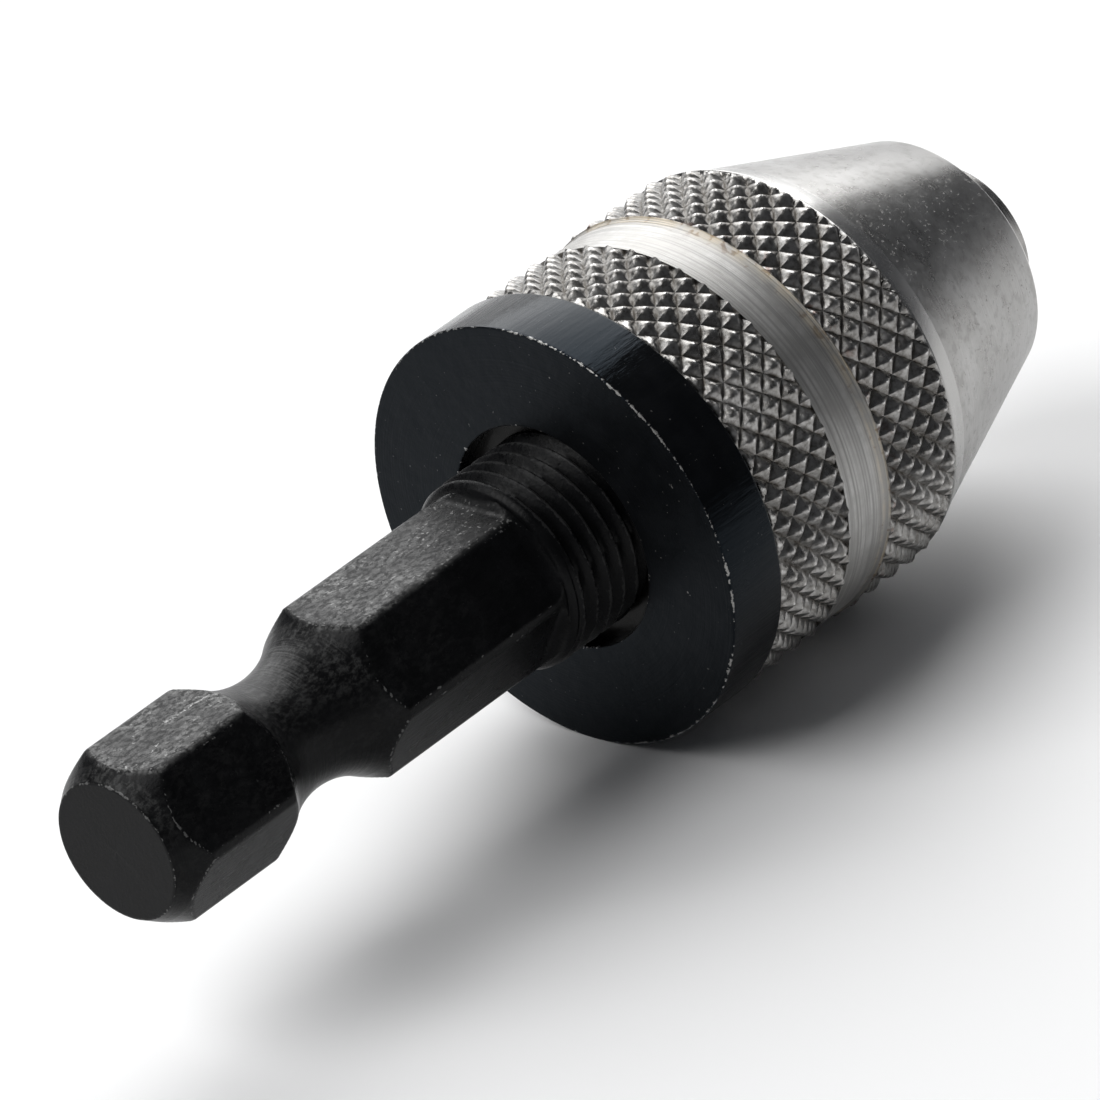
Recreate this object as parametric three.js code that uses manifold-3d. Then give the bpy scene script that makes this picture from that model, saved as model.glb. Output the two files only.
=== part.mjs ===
import * as THREE from 'three';
import { mergeVertices } from 'three/addons/utils/BufferGeometryUtils.js';
import Module from 'manifold-3d';

// A small keyless three-jaw drill chuck screwed onto a hex quick-change shank.
// Millimetres. X is the spin axis: 0 at the shank's end face, rising towards the nose. +Z is up.

const wasm = await Module();
wasm.setup();

const TURN = 2 * Math.PI;
const FACETS = 48; // around every turned surface

// Hex shank and its threaded stub
const HEX_FLATS = 6.35; // across the flats, 1/4 inch
const HEX_CORNERS = 7.16; // across the rounded corners
const HEX_LENGTH = 20.5;
const END_FACE_DIA = 5.5;
const END_CHAMFER = 1.25; // length along the axis
const DETENT_CENTRE = 8.75; // from the end face
const DETENT_DIA = 4.7;
const DETENT_WIDTH = 6.2;
const STUB_DIA = 7.8; // over the thread crests
const STUB_EXPOSED = 3.3; // between the hex and the flange
const STUB_END_GAP = 0.4; // to the bottom of the tapped hole
const STUB_CHAMFER = 0.4;
const STUB_CLEARANCE = 0.1; // radial, to the tapped hole
const TAPPED_DEPTH = 3.5;

// Rear flange, pressed on the body's spigot
const FLANGE_THICKNESS = 2.75;
const FLANGE_EDGE = 0.12;
const COUNTERBORE_GAP = 0.65; // round the stub
const COUNTERBORE_DEPTH = 0.8;
const SPIGOT_STEP = 0.65; // the hub stands out from the spigot
const PRESS_GAP = 0.02;

// Sleeve
const SLEEVE_BORE = 14.4;
const SLEEVE_WALL = 1.4; // from the bore to the knurl crests
const SLEEVE_GAP = 0.1; // to the flange
const REAR_BAND = 3.95;
const SMOOTH_BAND = 2.35;
const SMOOTH_DROP = 0.2; // below the knurl crests
const FRONT_BAND = 3.8;
const LAND_LENGTH = 1.05;
const LAND_DROP = 0.55;
const CONE_LENGTH = 8.1;
const CONE_END_DIA = 10.3;
const SLEEVE_EDGE = 0.15;
const REAR_EDGE = 0.25;

// Body
const HUB_LENGTH = 7.05;
const HUB_CLEARANCE = 0.05; // radial, under the sleeve's bore
const NOSE_WALL = 0.912; // outside the jaw holes, at the nose face
const NOSE_PROTRUSION = 2.1; // past the sleeve
const NOSE_TAPER = 0.32; // radius gained per millimetre back from the nose
const NOSE_EDGE = 0.2;
const NOSE_CLEARANCE = 0.3; // between the body's cone and the sleeve
const DRILL_BORE = 3.8;

// Jaws
const JAW_DIA = 2.7;
const JAW_CLEARANCE = 0.05;
const HOLE_END_GAP = 0.3; // behind the jaws when open
const JAW_ANGLE = THREE.MathUtils.degToRad(13.5);
const JAW_AXIS_AT_NOSE = 0.8; // from the spin axis, at the nose face
const JAW_LENGTH = 14; // along the spin axis
const JAW_REACH = 1.7; // tips past the nose when closed
const JAW_TIP_DIA = 3.6;
const JAW_TRAVEL = 1.6; // radial, closed to fully open
const REST_OPENING = 0.5; // radial opening of the modelled pose
const JAW_SPLIT = 0.02; // left between closed jaws
const JAW_COUNT = 3;
const FIRST_JAW_ANGLE = TURN / 4;

// Split nut
const NUT_LENGTH = 2.9;
const NUT_SPLIT = 0.1;
const NUT_END_GAP = 0.35; // nut to the groove's front wall
const THREAD_PITCH = 1;
const RIDGE_DEPTH = 0.45;
const RIDGE_CREST = 0.3;
const RIDGE_ROOT = 0.45;
const THREAD_CLEARANCE = 0.1;

// Thrust bearing
const BALL_DIA = 0.8;
const BALL_COUNT = 12;
const BALL_GAP = 0.02;
const RACE_THICKNESS = 0.4;
const BEARING_INNER_GAP = 0.205; // to the jaws
const BEARING_OUTER_GAP = 0.1; // to the sleeve's bore
const CAGE_THICKNESS = 0.4;
const POCKET_CLEARANCE = 0.04;

// Stations along X, each worked out from its neighbour
const flangeRear = HEX_LENGTH + STUB_EXPOSED;
const flangeFront = flangeRear + FLANGE_THICKNESS;
const bodyRear = flangeRear + COUNTERBORE_DEPTH;
const sleeveRear = flangeFront + SLEEVE_GAP;
const smoothStart = sleeveRear + REAR_BAND;
const smoothEnd = smoothStart + SMOOTH_BAND;
const landStart = smoothEnd + FRONT_BAND;
const coneStart = landStart + LAND_LENGTH;
const sleeveFront = coneStart + CONE_LENGTH;
const noseFace = sleeveFront + NOSE_PROTRUSION;
const hubFront = flangeFront + HUB_LENGTH;
const ballCentre = hubFront + RACE_THICKNESS + BALL_GAP + BALL_DIA / 2;
const nutRear = ballCentre + BALL_DIA / 2 + BALL_GAP;
const nutFront = nutRear + NUT_LENGTH;
const grooveFront = nutFront + NUT_END_GAP;
const tappedEnd = bodyRear + TAPPED_DEPTH;
const closedTip = noseFace + JAW_REACH;
const closedRear = closedTip - JAW_LENGTH;
const restShift = REST_OPENING / Math.tan(JAW_ANGLE); // back along X from closed
const openShift = JAW_TRAVEL / Math.tan(JAW_ANGLE);

const jawAxisRadius = (x) => JAW_AXIS_AT_NOSE + (noseFace - x) * Math.tan(JAW_ANGLE);
const jawOuterRadius = (x) => jawAxisRadius(x) + JAW_DIA / 2 / Math.cos(JAW_ANGLE);
const noseRadius = jawOuterRadius(noseFace) + NOSE_WALL;
const bodyConeRadius = (x) => noseRadius + (noseFace - x) * NOSE_TAPER;
const boreRadius = SLEEVE_BORE / 2;
const sleeveRadius = boreRadius + SLEEVE_WALL;
const hubRadius = boreRadius - HUB_CLEARANCE;
const spigotRadius = hubRadius - SPIGOT_STEP;
const coreRadius = jawOuterRadius(nutFront) - RIDGE_DEPTH - THREAD_CLEARANCE;
const tappedRadius = STUB_DIA / 2 + STUB_CLEARANCE;
const counterboreRadius = STUB_DIA / 2 + COUNTERBORE_GAP;
const bearingInner = jawOuterRadius(hubFront) + BEARING_INNER_GAP;
const bearingOuter = boreRadius - BEARING_OUTER_GAP;
const bearingRadius = (bearingInner + bearingOuter) / 2;

// A solid of revolution about X from an outline of [x, radius] points, which meets the axis or closes.
function turned(outline) {
  const points = outline.map(([x, radius]) => new THREE.Vector2(radius, x));
  const start = points[0];
  if (start.x > 0 || points.at(-1).x > 0) points.push(start.clone());
  const geometry = new THREE.LatheGeometry(points, FACETS);
  geometry.rotateZ(-TURN / 4);
  return solid(geometry);
}

// A three.js geometry as a solid that can be cut and joined.
function solid(geometry) {
  const bare = geometry.index ? geometry.clone() : geometry;
  bare.deleteAttribute('normal');
  bare.deleteAttribute('uv');
  const merged = mergeVertices(bare, 1e-5);
  const mesh = new wasm.Mesh({
    numProp: 3,
    vertProperties: new Float32Array(merged.attributes.position.array),
    triVerts: new Uint32Array(merged.index.array),
  });
  const result = new wasm.Manifold(mesh);
  return result.volume() < 0 ? flipped(merged) : result;
}

// The same solid with every triangle turned over.
function flipped(geometry) {
  const order = Array.from(geometry.index.array);
  for (let i = 0; i < order.length; i += 3) {
    [order[i + 1], order[i + 2]] = [order[i + 2], order[i + 1]];
  }
  const mesh = new wasm.Mesh({
    numProp: 3,
    vertProperties: new Float32Array(geometry.attributes.position.array),
    triVerts: new Uint32Array(order),
  });
  return new wasm.Manifold(mesh);
}

function named(name, shape, material) {
  const mesh = shape.getMesh();
  const geometry = new THREE.BufferGeometry();
  geometry.setAttribute('position', new THREE.BufferAttribute(mesh.vertProperties, 3));
  geometry.setIndex(new THREE.BufferAttribute(mesh.triVerts, 1));
  geometry.computeVertexNormals();
  const part = new THREE.Mesh(geometry, material);
  part.name = name;
  return part;
}

// A round bar along a jaw's line, between two stations of that line.
function jawBar(radius, rear, front) {
  const length = (front - rear) / Math.cos(JAW_ANGLE);
  const geometry = new THREE.CylinderGeometry(radius, radius, length, 20);
  geometry.rotateZ(-TURN / 4 - JAW_ANGLE);
  const middle = (rear + front) / 2;
  geometry.translate(middle, jawAxisRadius(middle), 0);
  return geometry;
}

const jawTurn = (i) => FIRST_JAW_ANGLE + (i * TURN) / JAW_COUNT;

function hexShank() {
  const outline = [
    [0, 0],
    [0, END_FACE_DIA / 2],
    [END_CHAMFER, HEX_CORNERS / 2],
  ];
  const depth = (HEX_CORNERS - DETENT_DIA) / 2;
  const half = DETENT_WIDTH / 2;
  const arcRadius = (half * half + depth * depth) / (2 * depth);
  const sweep = Math.asin(half / arcRadius);
  const steps = 8;
  for (let i = 0; i <= steps; i++) {
    const angle = -sweep + (2 * sweep * i) / steps;
    const radius = DETENT_DIA / 2 + arcRadius * (1 - Math.cos(angle));
    outline.push([DETENT_CENTRE + arcRadius * Math.sin(angle), radius]);
  }
  outline.push([HEX_LENGTH, HEX_CORNERS / 2], [HEX_LENGTH, 0]);
  const hexRadius = HEX_FLATS / 2 / Math.cos(TURN / 12);
  const prism = new THREE.CylinderGeometry(hexRadius, hexRadius, 2 * HEX_LENGTH, 6);
  prism.rotateY(TURN / 12);
  prism.rotateZ(-TURN / 4);
  const hex = turned(outline).intersect(solid(prism));
  const stubEnd = tappedEnd - STUB_END_GAP;
  const overlap = STUB_CHAMFER;
  const stub = turned([
    [HEX_LENGTH - overlap, 0],
    [HEX_LENGTH - overlap, HEX_FLATS / 2 - overlap],
    [HEX_LENGTH, HEX_FLATS / 2],
    [HEX_LENGTH + STUB_CHAMFER, STUB_DIA / 2],
    [stubEnd - STUB_CHAMFER, STUB_DIA / 2],
    [stubEnd, STUB_DIA / 2 - STUB_CHAMFER],
    [stubEnd, 0],
  ]);
  return hex.add(stub);
}

function rearFlange() {
  const seat = spigotRadius + PRESS_GAP;
  return turned([
    [flangeRear, counterboreRadius],
    [flangeRear, sleeveRadius - FLANGE_EDGE],
    [flangeRear + FLANGE_EDGE, sleeveRadius],
    [flangeFront - FLANGE_EDGE, sleeveRadius],
    [flangeFront, sleeveRadius - FLANGE_EDGE],
    [flangeFront, seat],
    [bodyRear - PRESS_GAP, seat],
    [bodyRear - PRESS_GAP, counterboreRadius],
  ]);
}

function chuckBody() {
  const shell = turned([
    [bodyRear, tappedRadius],
    [bodyRear, spigotRadius],
    [flangeFront + PRESS_GAP, spigotRadius],
    [flangeFront + PRESS_GAP, hubRadius],
    [hubFront, hubRadius],
    [hubFront, coreRadius],
    [grooveFront, coreRadius],
    [grooveFront, bodyConeRadius(grooveFront)],
    [noseFace - NOSE_EDGE, bodyConeRadius(noseFace - NOSE_EDGE)],
    [noseFace, noseRadius - NOSE_EDGE],
    [noseFace, DRILL_BORE / 2],
    [tappedEnd, DRILL_BORE / 2],
    [tappedEnd, tappedRadius],
  ]);
  const bottom = closedRear - openShift - HOLE_END_GAP;
  let body = shell;
  for (let i = 0; i < JAW_COUNT; i++) {
    const hole = jawBar(JAW_DIA / 2 + JAW_CLEARANCE, bottom, noseFace + JAW_LENGTH / 2);
    hole.rotateX(jawTurn(i));
    body = body.subtract(solid(hole));
  }
  return body;
}

// One jaw at rest, on the +Y side, then turned to its place.
function jaw(i) {
  let bar = solid(jawBar(JAW_DIA / 2, closedRear, closedTip + 2));
  const reach = 4 * JAW_DIA;
  const wedge = new THREE.Shape([
    new THREE.Vector2(JAW_SPLIT, 0),
    new THREE.Vector2(JAW_SPLIT + reach * Math.cos(TURN / 6), reach * Math.sin(TURN / 6)),
    new THREE.Vector2(JAW_SPLIT + reach, 0),
    new THREE.Vector2(JAW_SPLIT + reach * Math.cos(TURN / 6), -reach * Math.sin(TURN / 6)),
  ]);
  const prism = new THREE.ExtrudeGeometry(wedge, { depth: 2 * JAW_LENGTH, bevelEnabled: false });
  prism.translate(0, 0, closedTip - 2 * JAW_LENGTH);
  prism.applyMatrix4(new THREE.Matrix4().set(0, 0, 1, 0, 1, 0, 0, 0, 0, 1, 0, 0, 0, 0, 0, 1));
  bar = bar.intersect(solid(prism));
  const tip = JAW_TIP_DIA / 2;
  bar = bar.intersect(turned([
    [closedTip - 2 * JAW_LENGTH, 0],
    [closedTip - 2 * JAW_LENGTH, tip + JAW_LENGTH],
    [closedTip - JAW_LENGTH, tip + JAW_LENGTH],
    [closedTip, tip],
    [closedTip, 0],
  ]));
  bar = bar.translate([-restShift, restShift * Math.tan(JAW_ANGLE), 0]);
  const rear = closedRear - restShift;
  const front = nutFront + openShift - restShift;
  const lead = Math.atan(THREAD_PITCH / (TURN * jawOuterRadius(nutRear)));
  const phase = (THREAD_PITCH * jawTurn(i)) / TURN;
  const first = Math.floor((rear - nutRear - phase) / THREAD_PITCH);
  for (let turn = first; nutRear + phase + turn * THREAD_PITCH < front; turn++) {
    const x = nutRear + phase + turn * THREAD_PITCH;
    const floor = jawOuterRadius(x) - RIDGE_DEPTH - THREAD_CLEARANCE;
    const narrow = RIDGE_CREST / 2 + THREAD_CLEARANCE;
    const wide = RIDGE_ROOT / 2 + 2 * THREAD_CLEARANCE;
    const cutter = turned([
      [-narrow, floor],
      [-wide, floor + 2 * RIDGE_DEPTH],
      [wide, floor + 2 * RIDGE_DEPTH],
      [narrow, floor],
    ]);
    bar = bar.subtract(cutter.rotate([0, THREE.MathUtils.radToDeg(lead), 0])
      .translate([x, 0, 0]));
  }
  const degrees = THREE.MathUtils.radToDeg(jawTurn(i));
  return bar.rotate([degrees, 0, 0]);
}

// The split nut's internal conical thread: a straight ridge wound into a right-hand helix.
function nutRidge() {
  const steps = 32;
  const margin = RIDGE_ROOT;
  const turns = (NUT_LENGTH - 2 * margin) / THREAD_PITCH;
  const buried = 2 * THREAD_CLEARANCE;
  const section = new THREE.Shape([
    new THREE.Vector2(-RIDGE_CREST / 2, -RIDGE_DEPTH),
    new THREE.Vector2(RIDGE_CREST / 2, -RIDGE_DEPTH),
    new THREE.Vector2(RIDGE_ROOT / 2, buried),
    new THREE.Vector2(-RIDGE_ROOT / 2, buried),
  ]);
  const settings = { depth: turns * TURN, steps: Math.round(turns * steps), bevelEnabled: false };
  const geometry = new THREE.ExtrudeGeometry(section, settings);
  const position = geometry.attributes.position;
  const start = (margin * TURN) / THREAD_PITCH;
  for (let i = 0; i < position.count; i++) {
    const angle = start + position.getZ(i);
    const x = nutRear + (angle * THREAD_PITCH) / TURN + position.getX(i);
    const radius = jawOuterRadius(x) + position.getY(i);
    position.setXYZ(i, x, radius * Math.cos(angle), radius * Math.sin(angle));
  }
  return solid(geometry);
}

function nutHalves() {
  const outer = boreRadius - PRESS_GAP;
  const ring = turned([
    [nutRear, jawOuterRadius(nutRear) + THREAD_CLEARANCE],
    [nutRear, outer],
    [nutFront, outer],
    [nutFront, jawOuterRadius(nutFront) + THREAD_CLEARANCE],
  ]);
  const nut = ring.add(nutRidge());
  const size = 2 * SLEEVE_BORE;
  return [1, -1].map((side) => {
    const block = new THREE.BoxGeometry(size, size, size);
    block.translate(nutRear, side * (size / 2 + NUT_SPLIT / 2), 0);
    return nut.intersect(solid(block));
  });
}

function outerSleeve() {
  const knurl = sleeveRadius;
  const smooth = sleeveRadius - SMOOTH_DROP;
  const bore = boreRadius;
  const step = nutFront + PRESS_GAP;
  return turned([
    [sleeveRear, bore + REAR_EDGE],
    [sleeveRear, knurl - REAR_EDGE],
    [sleeveRear + REAR_EDGE, knurl],
    [smoothStart, knurl],
    [smoothStart, smooth],
    [smoothEnd, smooth],
    [smoothEnd, knurl],
    [landStart, knurl],
    [coneStart, sleeveRadius - LAND_DROP],
    [sleeveFront - SLEEVE_EDGE, CONE_END_DIA / 2],
    [sleeveFront, CONE_END_DIA / 2 - SLEEVE_EDGE],
    [sleeveFront, bodyConeRadius(sleeveFront) + NOSE_CLEARANCE],
    [step, bodyConeRadius(step) + NOSE_CLEARANCE],
    [step, bore],
    [sleeveRear + REAR_EDGE, bore],
  ]);
}

function raceWasher() {
  return turned([
    [hubFront, bearingInner],
    [hubFront, bearingOuter],
    [hubFront + RACE_THICKNESS, bearingOuter],
    [hubFront + RACE_THICKNESS, bearingInner],
  ]);
}

function ballCage() {
  const rear = ballCentre - CAGE_THICKNESS / 2;
  const front = ballCentre + CAGE_THICKNESS / 2;
  let cage = turned([
    [rear, bearingInner],
    [rear, bearingOuter],
    [front, bearingOuter],
    [front, bearingInner],
  ]);
  for (let i = 0; i < BALL_COUNT; i++) {
    const radius = BALL_DIA / 2 + POCKET_CLEARANCE;
    const pocket = new THREE.CylinderGeometry(radius, radius, 2 * CAGE_THICKNESS, 12);
    pocket.rotateZ(TURN / 4);
    pocket.translate(ballCentre, bearingRadius, 0);
    pocket.rotateX((i * TURN) / BALL_COUNT);
    cage = cage.subtract(solid(pocket));
  }
  return cage;
}

function ball(i) {
  const geometry = new THREE.SphereGeometry(BALL_DIA / 2, 10, 6);
  geometry.rotateZ(TURN / 4);
  geometry.translate(ballCentre, bearingRadius, 0);
  geometry.rotateX((i * TURN) / BALL_COUNT);
  return solid(geometry);
}

const blackOxide = () => new THREE.MeshStandardMaterial({ color: 0x1b1c1e, roughness: 0.55, metalness: 0.8 });
const glossBlack = () => new THREE.MeshStandardMaterial({ color: 0x0c0d10, roughness: 0.2, metalness: 0.7 });
const nickel = () => new THREE.MeshStandardMaterial({ color: 0xb9bab4, roughness: 0.35, metalness: 1 });
const groundSteel = () => new THREE.MeshStandardMaterial({ color: 0xa9aaa8, roughness: 0.3, metalness: 1 });
const ballSteel = () => new THREE.MeshStandardMaterial({ color: 0xd0d2d4, roughness: 0.1, metalness: 1 });
const brass = () => new THREE.MeshStandardMaterial({ color: 0xb59a55, roughness: 0.35, metalness: 1 });

const chuck = new THREE.Group();
chuck.add(named('hex_shank', hexShank(), blackOxide()));
chuck.add(named('rear_flange', rearFlange(), glossBlack()));
chuck.add(named('chuck_body', chuckBody(), groundSteel()));
chuck.add(named('outer_sleeve', outerSleeve(), nickel()));
nutHalves().forEach((half, i) => chuck.add(named(`nut_half_${i + 1}`, half, groundSteel())));
for (let i = 0; i < JAW_COUNT; i++) chuck.add(named(`jaw_${i + 1}`, jaw(i), groundSteel()));
chuck.add(named('race_washer', raceWasher(), groundSteel()));
chuck.add(named('ball_cage', ballCage(), brass()));
for (let i = 0; i < BALL_COUNT; i++) chuck.add(named(`ball_${i + 1}`, ball(i), ballSteel()));

export default chuck;
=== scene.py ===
import math

import bmesh
import bpy
import numpy as np
from mathutils import Euler, Matrix, Vector

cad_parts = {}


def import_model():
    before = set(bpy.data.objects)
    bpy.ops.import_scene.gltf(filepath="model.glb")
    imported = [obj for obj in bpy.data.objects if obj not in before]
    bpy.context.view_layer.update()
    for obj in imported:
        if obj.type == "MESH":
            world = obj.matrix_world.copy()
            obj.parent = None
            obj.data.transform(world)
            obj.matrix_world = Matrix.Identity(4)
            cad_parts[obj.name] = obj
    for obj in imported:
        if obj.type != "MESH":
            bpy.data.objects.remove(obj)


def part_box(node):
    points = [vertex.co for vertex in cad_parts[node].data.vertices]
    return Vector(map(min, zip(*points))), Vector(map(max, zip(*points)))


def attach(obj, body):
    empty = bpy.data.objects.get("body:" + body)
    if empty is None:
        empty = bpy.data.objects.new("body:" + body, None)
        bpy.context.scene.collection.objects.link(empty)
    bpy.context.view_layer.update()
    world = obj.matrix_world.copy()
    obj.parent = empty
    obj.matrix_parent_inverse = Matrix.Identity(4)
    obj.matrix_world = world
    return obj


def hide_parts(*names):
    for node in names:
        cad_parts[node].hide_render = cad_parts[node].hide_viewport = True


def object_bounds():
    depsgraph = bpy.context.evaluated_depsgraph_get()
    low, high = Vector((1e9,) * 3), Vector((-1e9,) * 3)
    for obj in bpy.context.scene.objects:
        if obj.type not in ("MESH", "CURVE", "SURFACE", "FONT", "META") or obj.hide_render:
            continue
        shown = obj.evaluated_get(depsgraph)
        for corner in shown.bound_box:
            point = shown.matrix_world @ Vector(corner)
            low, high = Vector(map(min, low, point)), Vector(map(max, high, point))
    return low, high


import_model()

cad_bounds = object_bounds()

# The spin axis is X, from the shank's end face to the nose. Lengths are written in millimetres
# and turned into metres when a mesh is made.
MM = 0.001
TURN = 2 * math.pi
SEED = 7

# Points nearer than WELD are one point, and an edge turned more than this is drawn sharp.
WELD = 0.001
SHARP = math.radians(35)
CUT_SHARP = math.radians(30)


def span(node):
    """Where a CAD node starts and ends along X, and its largest radius, in millimetres."""
    low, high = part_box(node)
    return low[0] / MM, high[0] / MM, max(-low[2], high[2]) / MM


_, shank_front, stub_radius = span("hex_shank")
flange_rear, flange_front, flange_radius = span("rear_flange")
sleeve_rear, sleeve_front, sleeve_radius = span("outer_sleeve")
body_rear, nose_face, hub_radius = span("chuck_body")
nut_rear, nut_front, _ = span("nut_half_1")
race_rear, race_front, race_radius = span("race_washer")
cage_rear, cage_front, cage_radius = span("ball_cage")


# Meshes ---------------------------------------------------------------------------------------

def mesh_object(name, vertices, faces):
    """A new object from points in millimetres, smooth except across its sharp edges."""
    mesh = bpy.data.meshes.new(name)
    mesh.from_pydata((np.asarray(vertices) * MM).tolist(), [], faces)
    mesh.shade_smooth()
    mesh.set_sharp_from_angle(angle=SHARP)
    mesh.update()
    obj = bpy.data.objects.new(name, mesh)
    bpy.context.scene.collection.objects.link(obj)
    return obj


def rounded(outline, steps=4):
    """A closed outline of (x, radius) or (x, radius, fillet) points with its corners rounded."""
    points = []
    count = len(outline)
    for i, corner in enumerate(outline):
        here = np.array(corner[:2], float)
        fillet = corner[2] if len(corner) > 2 else 0
        if not fillet:
            points.append(here)
            continue
        before = np.array(outline[i - 1][:2], float) - here
        after = np.array(outline[(i + 1) % count][:2], float) - here
        before /= np.linalg.norm(before)
        after /= np.linalg.norm(after)
        half = math.acos(np.clip(before @ after, -1, 1)) / 2
        inward = before + after
        centre = here + inward / np.linalg.norm(inward) * fillet / math.sin(half)
        first = here + before * fillet / math.tan(half) - centre
        last = here + after * fillet / math.tan(half) - centre
        sweep = math.atan2(first[0] * last[1] - first[1] * last[0], first @ last)
        for k in range(steps + 1):
            angle = sweep * k / steps
            cos, sin = math.cos(angle), math.sin(angle)
            points.append(centre + np.array([[cos, -sin], [sin, cos]]) @ first)
    return np.array(points)


def polar_object(name, stations, radii, closed=True, **fields):
    """A surface round X from one row of radii per station; closed joins the last row to the first.

    Rows run so that the outer wall is passed towards +X. A quad is split along its lower diagonal,
    so that a valley between two facets stays crisp. Each field is a row of values per station,
    kept on the points for the material to read.
    """
    rows, columns = radii.shape
    angle = np.arange(columns) * TURN / columns
    x = np.broadcast_to(np.asarray(stations, float).reshape(rows, -1), radii.shape)
    vertices = np.stack([x, radii * np.cos(angle), radii * np.sin(angle)], -1).reshape(-1, 3)
    index = np.arange(rows * columns).reshape(rows, columns)
    if closed:
        index = np.vstack([index, index[:1]])
    right = np.roll(index, -1, axis=1)
    a, b, c, d = (g.ravel() for g in (index[:-1], right[:-1], right[1:], index[1:]))
    radius = np.hypot(vertices[:, 1], vertices[:, 2])
    low_ac = (radius[a] + radius[c] <= radius[b] + radius[d])[:, None]
    one = np.where(low_ac, np.stack([a, b, c], 1), np.stack([a, b, d], 1))
    two = np.where(low_ac, np.stack([a, c, d], 1), np.stack([b, c, d], 1))
    faces = np.vstack([one, two]).tolist()
    if not closed:
        ends = [[x[0, 0], 0, 0], [x[-1, 0], 0, 0]]
        vertices = np.vstack([vertices, ends])
        rear, front = len(vertices) - 2, len(vertices) - 1
        faces += [[rear, int(q), int(p)] for p, q in zip(index[0], right[0])]
        faces += [[front, int(p), int(q)] for p, q in zip(index[-1], right[-1])]
    obj = mesh_object(name, vertices, faces)
    for field, values in fields.items():
        layer = obj.data.attributes.new(field, "FLOAT", "POINT")
        flat = np.zeros(len(vertices), np.float32)
        flat[:rows * columns] = np.broadcast_to(values, radii.shape).ravel()
        layer.data.foreach_set("value", flat)
    return obj


def turned_object(name, outline, facets=160):
    """A plain turned piece from a closed outline, its outer wall passed towards +X."""
    points = rounded(outline)
    return polar_object(name, points[:, 0], np.repeat(points[:, 1:], facets, axis=1))


def turned_open(name, rows, facets):
    """A turned piece with flat ends, from rows of (x, radius) in rising x."""
    radii = np.repeat([[r] for _, r in rows], facets, axis=1)
    return polar_object(name, [x for x, _ in rows], radii, closed=False)


def boolean(obj, other, operation):
    """Cuts obj by other, joins them or keeps what they share; other is used up."""
    modifier = obj.modifiers.new(operation, "BOOLEAN")
    modifier.object = other
    modifier.operation = operation
    modifier.solver = "EXACT"
    graph = bpy.context.evaluated_depsgraph_get()
    mesh = bpy.data.meshes.new_from_object(obj.evaluated_get(graph))
    obj.modifiers.clear()
    obj.data = mesh
    bpy.data.objects.remove(other)


def smooth(obj):
    """Smooth shading after a boolean, with the cut's slivers and doubled points removed."""
    mesh = bmesh.new()
    mesh.from_mesh(obj.data)
    bmesh.ops.remove_doubles(mesh, verts=mesh.verts[:], dist=WELD * MM)
    bmesh.ops.triangulate(mesh, faces=mesh.faces[:])
    bmesh.ops.dissolve_degenerate(mesh, dist=WELD * MM, edges=mesh.edges[:])
    bmesh.ops.triangulate(mesh, faces=mesh.faces[:])
    mesh.to_mesh(obj.data)
    mesh.free()
    obj.data.shade_smooth()
    obj.data.set_sharp_from_angle(angle=CUT_SHARP)
    return obj


def smaller(a, b, blend):
    """The smaller of two lengths, with the corner between them rounded over blend, and where
    that corner is: 1 on it and 0 away from it."""
    share = np.clip(0.5 + 0.5 * (b - a) / blend, 0, 1)
    corner = 4 * share * (1 - share)
    return b * (1 - share) + a * share - blend * corner / 4, corner


def wander(x, angle, scale, seed):
    """A smooth uneven field over x and angle, about -1 to 1, that closes round the axis."""
    rng = np.random.default_rng(seed)
    total = np.zeros(np.broadcast(x, angle).shape)
    for _ in range(6):
        turns = rng.integers(1, 9)
        phase, slope = rng.uniform(0, TURN), rng.normal(0, 1) / scale
        total += np.sin(turns * angle + slope * x + phase)
    return total / 3


# Hex shank ------------------------------------------------------------------------------------

HEX_FLATS = 6.35
HEX_CORNERS = 7.16
HEX_LENGTH = 20.5
END_FACE_RADIUS = 2.75
END_CHAMFER = 1.25
DETENT_CENTRE = 8.75
DETENT_RADIUS = 2.35
DETENT_WIDTH = 6.2
RUN_OUT = 0.5
THREAD_PITCH = 0.75
THREAD_DEPTH = 0.4
THREAD_STEPS = 12
CREST_SHARE = 0.12
FLANK_SHARE = 0.8
SHOULDER = 0.4
SHOULDER_DROP = 0.25
EDGE_BLEND = 0.05
CHAMFER_BLEND = 0.04
END_BREAK = 0.05
END_WEAR = 0.08
LONG_EDGE_WEAR = 0.55
ROW_GAP = 0.02
HEX_COLUMNS = 276
HEX_ROWS = 240


def hex_radius(x, angle):
    """Radius of the hex part, a turned bar with six milled flats, and where its edges are."""
    depth = HEX_CORNERS / 2 - DETENT_RADIUS
    half = DETENT_WIDTH / 2
    arc = (half**2 + depth**2) / (2 * depth)
    off = np.clip(x - DETENT_CENTRE, -half, half)
    bar = DETENT_RADIUS + arc - np.sqrt(arc**2 - off**2)
    cone = END_FACE_RADIUS + (HEX_CORNERS / 2 - END_FACE_RADIUS) * x / END_CHAMFER
    bar, _ = smaller(bar, cone, CHAMFER_BLEND)
    near = angle % (TURN / 6) - TURN / 12
    climb = np.clip(x - (HEX_LENGTH - RUN_OUT), 0, RUN_OUT)
    flat = HEX_FLATS / 2 + RUN_OUT - np.sqrt(RUN_OUT**2 - climb**2)
    radius, edge = smaller(bar, flat / np.cos(near), EDGE_BLEND)
    turned = np.clip((HEX_CORNERS / 2 - bar) / EDGE_BLEND, 0, 1)
    return radius, edge * (LONG_EDGE_WEAR + (1 - LONG_EDGE_WEAR) * turned)


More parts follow.
